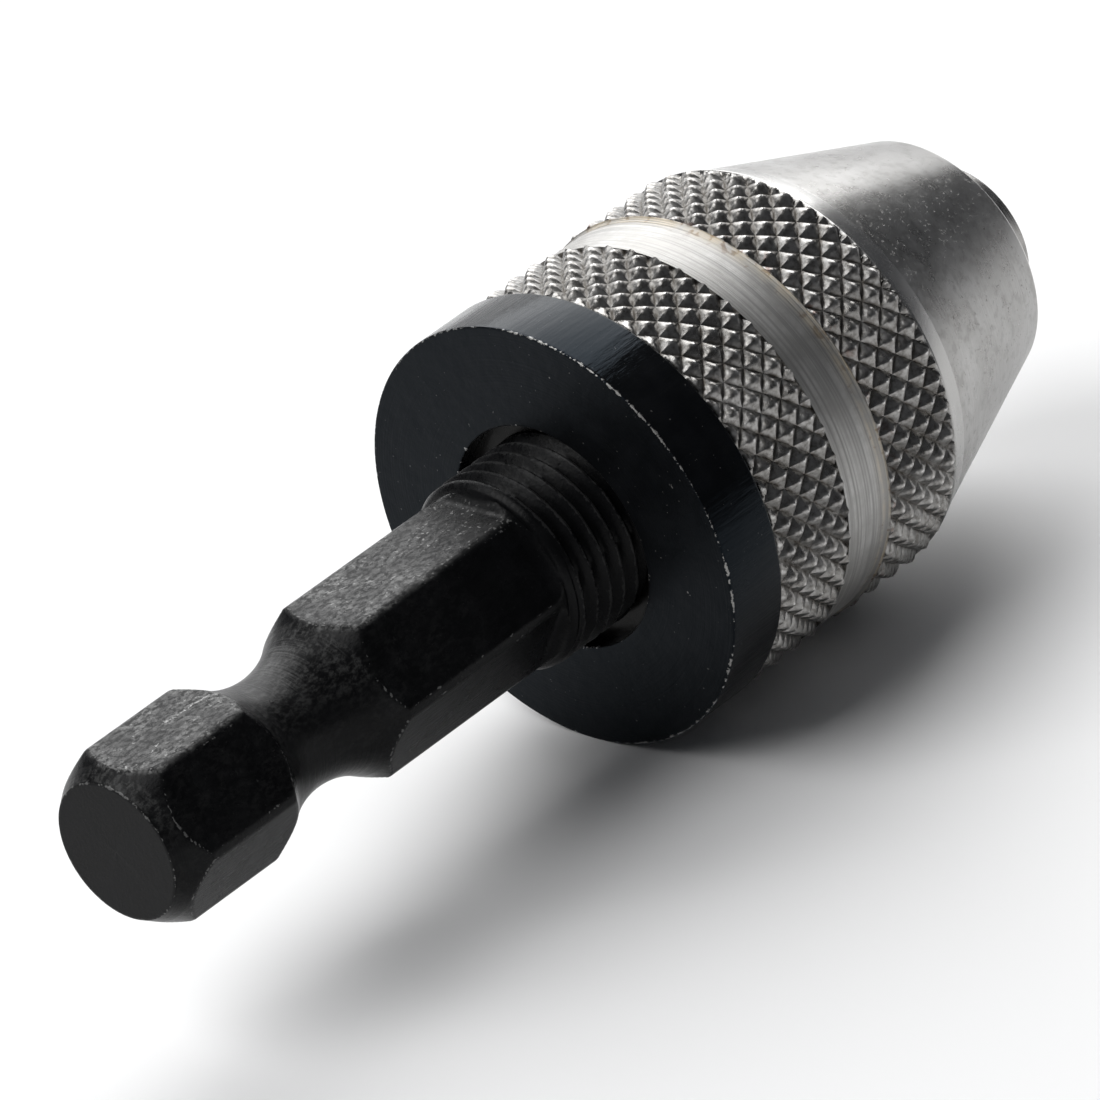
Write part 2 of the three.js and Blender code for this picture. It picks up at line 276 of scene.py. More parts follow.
def thread_wave(x, angle):
    """0 on a crest and 1 at the root of the right-hand mounting thread."""
    turn = (x / THREAD_PITCH - angle / TURN) % 1
    return np.clip((np.abs(2 * turn - 1) - CREST_SHARE) / FLANK_SHARE, 0, 1)


def hex_shank():
    """The hex with its chamfer and detent groove, and the threaded stub, as one turned surface."""
    columns = HEX_COLUMNS
    angle = np.arange(columns) * TURN / columns
    face = END_FACE_RADIUS - END_BREAK
    rows = [(0.0, np.full(columns, r), 0.0 * angle) for r in (0.9, 1.8, face - END_BREAK)]
    rows.append((0.0, np.full(columns, face), 0.5 + 0 * angle))
    for x in np.linspace(ROW_GAP, HEX_LENGTH, HEX_ROWS):
        radius, edge = hex_radius(x, angle)
        rows.append((x, radius, np.maximum(edge, 1 - min(1, x / END_WEAR))))
    for x in np.arange(HEX_LENGTH + ROW_GAP, shank_front, THREAD_PITCH / THREAD_STEPS):
        start = np.clip((x - HEX_LENGTH) / SHOULDER, 0, 1)
        end = np.clip((shank_front - x) / THREAD_DEPTH, 0, 1)
        limit = stub_radius - THREAD_DEPTH * (1 - end) - SHOULDER_DROP * (1 - start) ** 2
        cut = THREAD_DEPTH * np.clip((x - HEX_LENGTH - 0.15) / SHOULDER, 0, 1)
        wave = thread_wave(x, angle)
        crest = np.clip(1 - 4 * wave, 0, 1) * start
        rows.append((x, np.minimum(limit, stub_radius - cut * wave), crest))
    rows.append((shank_front, np.full(columns, stub_radius - THREAD_DEPTH), 0 * angle))
    stations = [x for x, _, _ in rows]
    radii, edges = (np.array([row[i] for row in rows]) for i in (1, 2))
    return polar_object("shank_steel", stations, radii, closed=False, edge=edges)


# Rear flange ----------------------------------------------------------------------------------

COUNTERBORE_RADIUS = 4.55
SPIGOT_RADIUS = 6.5
SPIGOT_GAP = 0.02
NICK_LEVEL = 0.6
NICK_DEPTH = 0.04
NICK_SET_BACK = 0.035
RIM_WEAR = 0.18
LIP_WEAR = 0.2
FLANGE_COLUMNS = 1080


def rear_flange():
    """The black ring behind the sleeve, with small nicks round its rear rim."""
    points = rounded([
        (flange_rear, COUNTERBORE_RADIUS, 0.06),
        (flange_rear, COUNTERBORE_RADIUS + 0.2),
        (flange_rear, flange_radius - 0.3),
        (flange_rear, flange_radius - 0.15),
        (flange_rear, flange_radius, 0.06),
        (flange_rear + 0.15, flange_radius),
        (flange_rear + 0.3, flange_radius),
        (flange_front, flange_radius, 0.12),
        (flange_front, SPIGOT_RADIUS + SPIGOT_GAP, 0.05),
        (body_rear, SPIGOT_RADIUS + SPIGOT_GAP),
        (body_rear, COUNTERBORE_RADIUS),
    ])
    columns = FLANGE_COLUMNS
    angle = np.arange(columns) * TURN / columns
    radii = np.repeat(points[:, 1:], columns, axis=1)
    stations = np.repeat(points[:, :1], columns, axis=1)
    from_rim = np.hypot(points[:, 0] - flange_rear, points[:, 1] - flange_radius)
    from_lip = np.hypot(points[:, 0] - flange_rear, points[:, 1] - COUNTERBORE_RADIUS)
    rim = from_rim < 0.1
    nick = np.clip(wander(0, 9 * angle, 1, SEED) - NICK_LEVEL, 0, 1)
    radii[rim] -= NICK_DEPTH * nick
    stations[rim] += NICK_SET_BACK * nick
    edge = np.clip(1 - from_rim / RIM_WEAR, 0, 1) + 0.7 * np.clip(1 - from_lip / LIP_WEAR, 0, 1)
    return polar_object("flange_ring", stations, radii, edge=edge[:, None])


# Outer sleeve ---------------------------------------------------------------------------------

KNURL_STARTS = 46
KNURL_PITCH = 1.14
KNURL_DEPTH = 0.32
KNURL_STEPS = 12
KNURL_ROUND = 1.25
KNURL_BLEND = 0.3
KNURL_CREST = 0.94
KNURL_UNEVEN = 0.07
REAR_CHAMFER = 0.3
REAR_EDGE_DROP = 0.4
BRUSH_DEPTH = 0.012
BRUSH_PITCH = 0.045
REAR_BAND = 3.95
SMOOTH_BAND = 2.35
SMOOTH_RADIUS = 8.4
FRONT_BAND = 3.8
LAND_LENGTH = 1.05
CONE_START_RADIUS = 8.05
CONE_END_RADIUS = 5.15
SLEEVE_BORE = 7.2
NOSE_TAPER = 0.32
NOSE_RADIUS = 3.1
NOSE_CLEARANCE = 0.3


def body_cone(x):
    """Radius of the body's tapered front at a station."""
    return NOSE_RADIUS + (nose_face - x) * NOSE_TAPER


def knurl_height(x, angle):
    """0 in a valley and 1 on the point of a diamond."""
    around = KNURL_STARTS * angle / TURN
    one = (around + x / KNURL_PITCH) % 1
    two = (around - x / KNURL_PITCH) % 1
    ridge_one, ridge_two = (1 - np.abs(2 * turn - 1) ** KNURL_ROUND for turn in (one, two))
    height, _ = smaller(ridge_one, ridge_two, KNURL_BLEND)
    return np.clip(height, 0, KNURL_CREST) / KNURL_CREST


def outer_sleeve():
    """The sleeve: two knurled bands, the brushed band between them, the land and the cone."""
    columns = KNURL_STARTS * KNURL_STEPS
    angle = np.arange(columns) * TURN / columns
    smooth_start = sleeve_rear + REAR_BAND
    smooth_end = smooth_start + SMOOTH_BAND
    land = smooth_end + FRONT_BAND
    cone = land + LAND_LENGTH
    step = KNURL_PITCH / KNURL_STEPS
    rows = [(sleeve_rear, np.full(columns, sleeve_radius - REAR_EDGE_DROP), 0 * angle)]

    def plain(x, radius, dirt=0.0):
        rows.append((x, np.full(columns, radius), dirt + 0 * angle))

    def knurl(x, limit):
        height = knurl_height(x, angle)
        uneven = 1 + KNURL_UNEVEN * wander(x, angle, 2.5, SEED + 1)
        surface = sleeve_radius - KNURL_DEPTH * uneven * (1 - height)
        rows.append((x, np.minimum(limit, surface), 1 - height))

    for i in range(math.ceil(sleeve_rear / step), math.floor(smooth_start / step)):
        knurl(i * step, sleeve_radius - max(0, REAR_CHAMFER - (i * step - sleeve_rear)))
    knurl(smooth_start - 0.01, sleeve_radius - 0.03)
    plain(smooth_start, SMOOTH_RADIUS + 0.02, 0.8)
    rng = np.random.default_rng(SEED + 2)
    for x in np.arange(smooth_start + 0.06, smooth_end - 0.3, BRUSH_PITCH):
        turns, phase, depth = rng.integers(1, 4), rng.uniform(0, TURN), rng.uniform(-1, 1)
        line = depth * (0.6 + 0.4 * np.sin(turns * angle + phase))
        rows.append((x, SMOOTH_RADIUS - 0.01 + BRUSH_DEPTH * line, 0 * angle))
    plain(smooth_end - 0.28, SMOOTH_RADIUS - 0.04, 0.2)
    plain(smooth_end - 0.16, SMOOTH_RADIUS + 0.02, 0.4)
    plain(smooth_end - 0.06, SMOOTH_RADIUS + 0.05, 0.8)
    plain(smooth_end - 0.01, SMOOTH_RADIUS + 0.1, 1.0)
    knurl(smooth_end, sleeve_radius - 0.03)
    for i in range(math.ceil(smooth_end / step), math.floor(land / step)):
        knurl(i * step, sleeve_radius)
    knurl(land, sleeve_radius - 0.1)
    shoulder = rounded([
        (land, sleeve_radius - KNURL_DEPTH),
        (land + 0.1, sleeve_radius - 0.15, 0.05),
        (cone, CONE_START_RADIUS, 0.15),
        (sleeve_front, CONE_END_RADIUS, 0.12),
        (sleeve_front, body_cone(sleeve_front) + NOSE_CLEARANCE, 0.08),
        (nut_front + 0.02, body_cone(nut_front) + NOSE_CLEARANCE),
        (nut_front + 0.02, SLEEVE_BORE),
        (sleeve_rear, SLEEVE_BORE, 0.2),
        (sleeve_rear, sleeve_radius - REAR_EDGE_DROP),
    ])
    for x, radius in shoulder[1:-1]:
        plain(x, radius)
    stations = [x for x, _, _ in rows]
    radii, dirt = (np.array([row[i] for row in rows]) for i in (1, 2))
    return polar_object("sleeve_shell", stations, radii, dirt=dirt)


# Body and jaws --------------------------------------------------------------------------------

JAW_COUNT = 3
JAW_RADIUS = 1.35
JAW_CLEARANCE = 0.05
JAW_ANGLE = math.radians(13.5)
JAW_AXIS_AT_NOSE = 0.8
JAW_LENGTH = 14.0
JAW_REACH = 1.7
JAW_TRAVEL = 1.6
REST_OPENING = 0.5
JAW_SPLIT = 0.02
JAW_COLUMNS = 64
JAW_END_BREAK = 0.12
JAW_POINT_RADIUS = 1.8
JAW_BLANK_EXTRA = 2
BODY_COLUMNS = 144
BODY_GAP = 0.02
TAPPED_GAP = 0.1
NUT_PITCH = 1.0
RIDGE_DEPTH = 0.45
RIDGE_CREST = 0.3
RIDGE_ROOT = 0.45
NUT_CLEARANCE = 0.1
HOLE_DEPTH = 28.75
TAPPED_END = 28.1
DRILL_RADIUS = 1.9
GROOVE_END_GAP = 0.35
CUTTER_FACETS = 96

# Cutters are turned by this much about themselves, so no facet lies exactly on another's.
OFF_GRID = math.radians(1.3)


def jaw_axis_radius(x):
    """Distance of a jaw's own axis from the spin axis at a station."""
    return JAW_AXIS_AT_NOSE + (nose_face - x) * math.tan(JAW_ANGLE)


def jaw_outer_radius(x):
    """Distance of a jaw's outermost line from the spin axis at a station."""
    return jaw_axis_radius(x) + JAW_RADIUS / math.cos(JAW_ANGLE)


def jaw_turn(i):
    """How far jaw i is turned about the spin axis from +Y."""
    return TURN / 4 + i * TURN / JAW_COUNT


def jaw_bar(name, radius, rear, front, fillet=0.0):
    """A round bar along a jaw's line on the +Y side, between two stations."""
    half = (front - rear) / 2 / math.cos(JAW_ANGLE)
    rows = [(-half, radius - fillet), (-half + fillet, radius)] if fillet else [(-half, radius)]
    rows.append((half, radius))
    bar = turned_open(name, rows, JAW_COLUMNS)
    middle = (rear + front) / 2
    bar.data.transform(Matrix.Rotation(OFF_GRID, 4, "X"))
    bar.data.transform(Matrix.Rotation(-JAW_ANGLE, 4, "Z"))
    bar.data.transform(Matrix.Translation(Vector((middle, jaw_axis_radius(middle), 0)) * MM))
    return bar


def turn_about_axis(obj, angle):
    """obj with its mesh turned about the spin axis."""
    obj.data.transform(Matrix.Rotation(angle, 4, "X"))
    return obj


def chuck_body():
    """The body, bored for a drill, tapped for the stub, with a hole for each jaw."""
    columns = BODY_COLUMNS
    angle = np.arange(columns) * TURN / columns
    groove_front = nut_front + GROOVE_END_GAP
    core = jaw_outer_radius(nut_front) - RIDGE_DEPTH - NUT_CLEARANCE
    tapped = stub_radius + TAPPED_GAP
    outline = rounded([
        (body_rear, tapped - THREAD_DEPTH + END_BREAK),
        (body_rear, SPIGOT_RADIUS),
        (flange_front + BODY_GAP, SPIGOT_RADIUS),
        (flange_front + BODY_GAP, hub_radius, 0.1),
        (race_rear, hub_radius, 0.1),
        (race_rear, core, 0.15),
        (groove_front, core, 0.15),
        (groove_front, body_cone(groove_front), 0.15),
        (nose_face, NOSE_RADIUS, 0.2),
        (nose_face, DRILL_RADIUS),
        (TAPPED_END, DRILL_RADIUS),
    ])
    rows = [(x, np.full(columns, r)) for x, r in outline[1:]]
    for x in np.arange(TAPPED_END, body_rear, -THREAD_PITCH / THREAD_STEPS):
        rows.append((x, tapped - THREAD_DEPTH * thread_wave(x, angle)))
    body = polar_object("body_steel", [x for x, _ in rows], np.array([r for _, r in rows]))
    for i in range(JAW_COUNT):
        hole = jaw_bar("hole", JAW_RADIUS + JAW_CLEARANCE, HOLE_DEPTH, nose_face + JAW_LENGTH / 2)
        boolean(body, turn_about_axis(hole, jaw_turn(i)), "DIFFERENCE")
    return smooth(body)


def prism(name, outline, rear, front):
    """A straight bar along X from a closed outline of (y, z) points, anticlockwise from the nose."""
    count = len(outline)
    vertices = [(x, y, z) for x in (rear, front) for y, z in outline]
    faces = [[i, (i + 1) % count, (i + 1) % count + count, i + count] for i in range(count)]
    faces += [list(range(count))[::-1], list(range(count, 2 * count))]
    return mesh_object(name, vertices, faces)


def jaw(i):
    """Jaw i: a pointed bar with a flat towards each neighbour and the nut's thread in its back."""
    tip = nose_face + JAW_REACH
    rear = tip - JAW_LENGTH
    shift = REST_OPENING / math.tan(JAW_ANGLE)
    bar = jaw_bar(f"jaw_steel_{i + 1}", JAW_RADIUS, rear, tip + JAW_BLANK_EXTRA, JAW_END_BREAK)
    reach = 8 * JAW_RADIUS
    side = (reach * math.cos(TURN / 6), reach * math.sin(TURN / 6))
    cut_rear = tip - 2 * JAW_LENGTH
    wedge = [(JAW_SPLIT, 0), (JAW_SPLIT + side[0], -side[1]),
             (JAW_SPLIT + reach, 0), (JAW_SPLIT + side[0], side[1])]
    boolean(bar, prism("wedge", wedge, cut_rear, tip), "INTERSECT")
    point = [(cut_rear, JAW_POINT_RADIUS + 2 * JAW_LENGTH), (tip, JAW_POINT_RADIUS)]
    boolean(bar, turned_open("cone", point, CUTTER_FACETS), "INTERSECT")
    bar.data.transform(Matrix.Translation(Vector((-shift, REST_OPENING, 0)) * MM))
    lead = math.atan(NUT_PITCH / (TURN * jaw_outer_radius(nut_rear)))
    phase = nut_rear + NUT_PITCH * jaw_turn(i) / TURN
    end = nut_front + (JAW_TRAVEL - REST_OPENING) / math.tan(JAW_ANGLE)
    first_turn = math.floor((rear - shift - phase) / NUT_PITCH)
    for k in range(first_turn, math.ceil((end - phase) / NUT_PITCH)):
        x = phase + k * NUT_PITCH
        floor_radius = jaw_outer_radius(x) - RIDGE_DEPTH - NUT_CLEARANCE
        narrow = RIDGE_CREST / 2 + NUT_CLEARANCE
        wide = RIDGE_ROOT / 2 + 2 * NUT_CLEARANCE
        top = floor_radius + 2 * RIDGE_DEPTH
        groove = [(-narrow, floor_radius), (-wide, top), (wide, top), (narrow, floor_radius)]
        cutter = turned_object("cutter", groove, CUTTER_FACETS)
        cutter.data.transform(Matrix.Rotation(lead, 4, "Y"))
        cutter.data.transform(Matrix.Translation(Vector((x, 0, 0)) * MM))
        boolean(bar, cutter, "DIFFERENCE")
    return smooth(turn_about_axis(bar, jaw_turn(i)))


# Nut and bearing ------------------------------------------------------------------------------

BALL_COUNT = 12
BALL_STEPS = 20
BALL_COLUMNS = 32
POCKET_GAP = 0.04
POCKET_FACETS = 32
BEARING_GAP = 0.205
NUT_SPLIT = 0.1
NUT_FACETS = 144
NUT_FIT = 0.02
RIDGE_STEPS = 96


def nut_ridge():
    """The nut's conical right-hand thread, a ridge wound inside the ring."""
    margin = RIDGE_ROOT
    turns = (nut_front - nut_rear - 2 * margin) / NUT_PITCH
    count = round(turns * RIDGE_STEPS)
    buried = 2 * NUT_CLEARANCE
    section = [(-RIDGE_CREST / 2, -RIDGE_DEPTH), (RIDGE_CREST / 2, -RIDGE_DEPTH),
               (RIDGE_ROOT / 2, buried), (-RIDGE_ROOT / 2, buried)]
    vertices = []
    for k in range(count + 1):
        angle = (margin / NUT_PITCH + turns * k / count) * TURN
        for along, out in section:
            x = nut_rear + angle * NUT_PITCH / TURN + along
            radius = jaw_outer_radius(x) + out
            vertices.append((x, radius * math.cos(angle), radius * math.sin(angle)))
    faces = [[0, 1, 2, 3], [4 * count + j for j in (3, 2, 1, 0)]]
    for k in range(count):
        for j in range(4):
            a, b = 4 * k + j, 4 * k + (j + 1) % 4
            faces.append([b, a, a + 4, b + 4])
    return mesh_object("ridge", vertices, faces)


def nut_half(i):
    """One half of the nut, on the +Y side for i = 0 and the -Y side for i = 1."""
    side = 1 - 2 * i
    ring = turned_object(f"nut_steel_{i + 1}", [
        (nut_rear, jaw_outer_radius(nut_rear) + NUT_CLEARANCE, 0.06),
        (nut_rear, SLEEVE_BORE - NUT_FIT, 0.12),
        (nut_front, SLEEVE_BORE - NUT_FIT, 0.12),
        (nut_front, jaw_outer_radius(nut_front) + NUT_CLEARANCE, 0.06),
    ], NUT_FACETS)
    boolean(ring, nut_ridge(), "UNION")
    far, near = side * 2 * SLEEVE_BORE, side * NUT_SPLIT / 2
    low, high = min(far, near), max(far, near)
    reach = far * side
    block = [(low, -reach), (high, -reach), (high, reach), (low, reach)]
    boolean(ring, prism("block", block, nut_rear - 1, nut_front + 1), "INTERSECT")
    return smooth(ring)


def bearing_inner_radius():
    """Inner radius of the washer and the cage, which clear the jaws."""
    return jaw_outer_radius(race_rear) + BEARING_GAP


def race_washer():
    """The hardened washer that the balls run on."""
    inner = bearing_inner_radius()
    return turned_object("race_steel", [
        (race_rear, inner, 0.06), (race_rear, race_radius, 0.06),
        (race_front, race_radius, 0.06), (race_front, inner, 0.06),
    ])


def pitch_radius():
    """Distance of the balls' centres from the spin axis."""
    low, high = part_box("ball_1")
    return (low[1] + high[1]) / 2 / MM


def ball_cage():
    """The flat brass ring with a round pocket for each ball."""
    low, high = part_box("ball_1")
    inner = bearing_inner_radius()
    cage = turned_object("cage_brass", [
        (cage_rear, inner, 0.05), (cage_rear, cage_radius, 0.05),
        (cage_front, cage_radius, 0.05), (cage_front, inner, 0.05),
    ])
    pocket_radius = (high[0] - low[0]) / 2 / MM + POCKET_GAP
    pocket_rows = [(cage_rear - 1, pocket_radius), (cage_front + 1, pocket_radius)]
    for i in range(BALL_COUNT):
        pocket = turned_open("pocket", pocket_rows, POCKET_FACETS)
        pocket.data.transform(Matrix.Rotation(OFF_GRID, 4, "X"))
        pocket.data.transform(Matrix.Translation(Vector((0, pitch_radius(), 0)) * MM))
        boolean(cage, turn_about_axis(pocket, i * TURN / BALL_COUNT), "DIFFERENCE")
    return smooth(cage)


def ball(i):
    """One ball of the bearing."""
    low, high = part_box("ball_1")
    radius = (high[0] - low[0]) / 2 / MM
    middle = (low[0] + high[0]) / 2 / MM
    rows = [(-radius * math.cos(math.pi * k / BALL_STEPS), radius * math.sin(math.pi * k / BALL_STEPS))
            for k in range(1, BALL_STEPS)]
    sphere = turned_open(f"ball_steel_{i + 1}", rows, BALL_COLUMNS)
    sphere.data.vertices[-2].co.x = -radius * MM
    sphere.data.vertices[-1].co.x = radius * MM
    sphere.data.transform(Matrix.Translation(Vector((middle, pitch_radius(), 0)) * MM))
    return smooth(turn_about_axis(sphere, i * TURN / BALL_COUNT))


# Materials ------------------------------------------------------------------------------------

class Finish:
    """A node material, with short ways to add nodes and join them."""

    def __init__(self, name, metallic=1.0, roughness=0.3, colour=(0.6, 0.6, 0.6)):
        self.material = bpy.data.materials.new(name)
        self.material.use_nodes = True
        self.tree = self.material.node_tree
        self.shader = self.tree.nodes["Principled BSDF"]
        self.set(self.shader, "Metallic", metallic)
        self.set(self.shader, "Roughness", roughness)
        self.set(self.shader, "Base Color", (*colour, 1))
        texture = self.tree.nodes.new("ShaderNodeTexCoord")
        self.place = self.vector("MULTIPLY", texture.outputs["Object"], (1 / MM,) * 3)
        parts = self.tree.nodes.new("ShaderNodeSeparateXYZ")
        self.join(self.place, parts.inputs[0])
        self.x, self.y, self.z = parts.outputs
        self.radius = self.math("SQRT", self.math(
            "ADD", self.math("MULTIPLY", self.y, self.y), self.math("MULTIPLY", self.z, self.z)))

    def set(self, node, socket, value):
        node.inputs[socket].default_value = value

    def join(self, source, target):
        self.tree.links.new(source, target)

    def feed(self, value, socket):
        if isinstance(value, bpy.types.NodeSocket):
            self.join(value, socket)
        else:
            socket.default_value = value

    def math(self, operation, a, b=0.0, clamp=False):
        node = self.tree.nodes.new("ShaderNodeMath")
        node.operation = operation
        node.use_clamp = clamp
        self.feed(a, node.inputs[0])
        self.feed(b, node.inputs[1])
        return node.outputs[0]

    def vector(self, operation, a, b):
        node = self.tree.nodes.new("ShaderNodeVectorMath")
        node.operation = operation
        self.feed(a, node.inputs[0])
        self.feed(b, node.inputs["Scale" if operation == "SCALE" else 1])
        return node.outputs["Value" if operation in ("LENGTH", "DOT_PRODUCT") else "Vector"]

    def step(self, value, low, high):
        """value taken from low..high to 0..1; low above high turns it round."""
        node = self.tree.nodes.new("ShaderNodeMapRange")
        node.interpolation_type = "SMOOTHSTEP"
        self.feed(value, node.inputs["Value"])
        backwards = low > high
        self.set(node, "From Min", min(low, high))
        self.set(node, "From Max", max(low, high))
        self.set(node, "To Min", 1.0 if backwards else 0.0)
        self.set(node, "To Max", 0.0 if backwards else 1.0)
        return node.outputs["Result"]

    def around(self, along, across):
        """Coordinates whose lines run round the axis: fine along it, slow about it."""
        node = self.tree.nodes.new("ShaderNodeCombineXYZ")
        self.feed(self.math("MULTIPLY", self.x, along), node.inputs[0])
        for i, side in ((1, self.y), (2, self.z)):
            unit = self.math("DIVIDE", side, self.radius)
            self.feed(self.math("MULTIPLY", unit, across), node.inputs[i])
        return node.outputs[0]

    def noise(self, scale, detail=4.0, vector=None, rough=0.5):
        node = self.tree.nodes.new("ShaderNodeTexNoise")
        self.join(self.place if vector is None else vector, node.inputs["Vector"])
        self.set(node, "Scale", scale)
        self.set(node, "Detail", detail)
        self.set(node, "Roughness", rough)
        return node.outputs["Fac"]

    def stretched(self, turn, stretch):
        """Coordinates turned by angles in degrees, then stretched, for scratches."""
        node = self.tree.nodes.new("ShaderNodeMapping")
        node.vector_type = "POINT"
        self.join(self.place, node.inputs["Vector"])
        node.inputs["Rotation"].default_value = [math.radians(t) for t in turn]
        node.inputs["Scale"].default_value = stretch
        return node.outputs[0]

    def rings(self, fine):
        """Coordinates whose lines are circles round the axis on a flat face."""
        node = self.tree.nodes.new("ShaderNodeCombineXYZ")
        self.feed(self.math("MULTIPLY", self.radius, fine), node.inputs[0])
        for i, side in ((1, self.y), (2, self.z)):
            unit = self.math("DIVIDE", side, self.radius)
            self.feed(self.math("MULTIPLY", unit, 0.8), node.inputs[i])
        return node.outputs[0]

    def field(self, name):
        """A value kept on the mesh's points."""
        node = self.tree.nodes.new("ShaderNodeAttribute")
        node.attribute_name = name
        return node.outputs["Fac"]

    def largest(self, values):
        """The largest of several values."""
        total = values[0]
        for value in values[1:]:
            total = self.math("MAXIMUM", total, value)
        return total

    def scratch(self, start, end, width, bow=0.0):
        """A rough line between two points, bowed to one side: 1 on it and 0 away from it."""
        reach = Vector(end) - Vector(start)
        away = self.vector("SUBTRACT", self.place, tuple(start))
        along = self.vector("DOT_PRODUCT", away, tuple(reach / reach.length_squared))
        along = self.math("ADD", along, 0.0, clamp=True)
        arch = self.math("MULTIPLY", along, self.math("SUBTRACT", 1.0, along))
        arch = self.math("MULTIPLY", arch, bow)
        foot = self.vector("SCALE", tuple(reach), along)
        shift = self.math("ADD", arch, self.uneven(self.noise(1.6, 3.0), 0.35))
        side = self.vector("SCALE", (0.6, 0.6, 0.6), shift)
        offset = self.vector("SUBTRACT", self.vector("SUBTRACT", away, foot), side)
        gap = self.vector("LENGTH", offset, (0, 0, 0))
        ragged = self.math("ADD", gap, self.uneven(self.noise(9, 3.0), width * 3))
        return self.step(ragged, width, width * 0.4)

    def specks(self, fine, level, seed):
        """Small scattered dots: 1 on a dot, 0 elsewhere."""
        return self.step(self.noise(fine, 2.0, self.shifted(seed)), level, level + 0.03)

    def shifted(self, seed):
        return self.vector("ADD", self.place, (17.3 * seed, 9.1 * seed, 5.7 * seed))

    def uneven(self, noise, size):
        """A noise that swings by size about 0."""
        return self.math("MULTIPLY", self.math("SUBTRACT", noise, 0.5), size)

    def wear(self, amount):
        """Where the edge's coating is gone, with an uneven border: 1 is bare."""
        border = self.uneven(self.noise(5.0, 5.0, self.shifted(1), 0.65), 2.6)
        patches = self.uneven(self.noise(0.45, 2.0, self.shifted(2)), 1.4)
        total = self.math("ADD", self.math("ADD", self.field("edge"), border), patches)
        return self.step(total, 1.3 - amount, 1.45 - amount)

    def mix(self, share, a, b):
        node = self.tree.nodes.new("ShaderNodeMix")
        node.data_type = "RGBA"
        self.feed(share, node.inputs[0])
        for value, socket in ((a, node.inputs[6]), (b, node.inputs[7])):
            self.feed((*value, 1) if isinstance(value, tuple) else value, socket)
        return node.outputs[2]

    def bump(self, height, distance, strength=1.0, below=None):
        node = self.tree.nodes.new("ShaderNodeBump")
        self.feed(height, node.inputs["Height"])
        self.set(node, "Distance", distance * MM)
        self.set(node, "Strength", strength)
        if below is not None:
            self.join(below, node.inputs["Normal"])
        return node.outputs[0]

    def finish(self, colour=None, roughness=None, normal=None, metallic=None):
        for name, value in (("Base Color", colour), ("Roughness", roughness),
                            ("Normal", normal), ("Metallic", metallic)):
            if value is not None:
                self.join(value, self.shader.inputs[name])
        return self.material


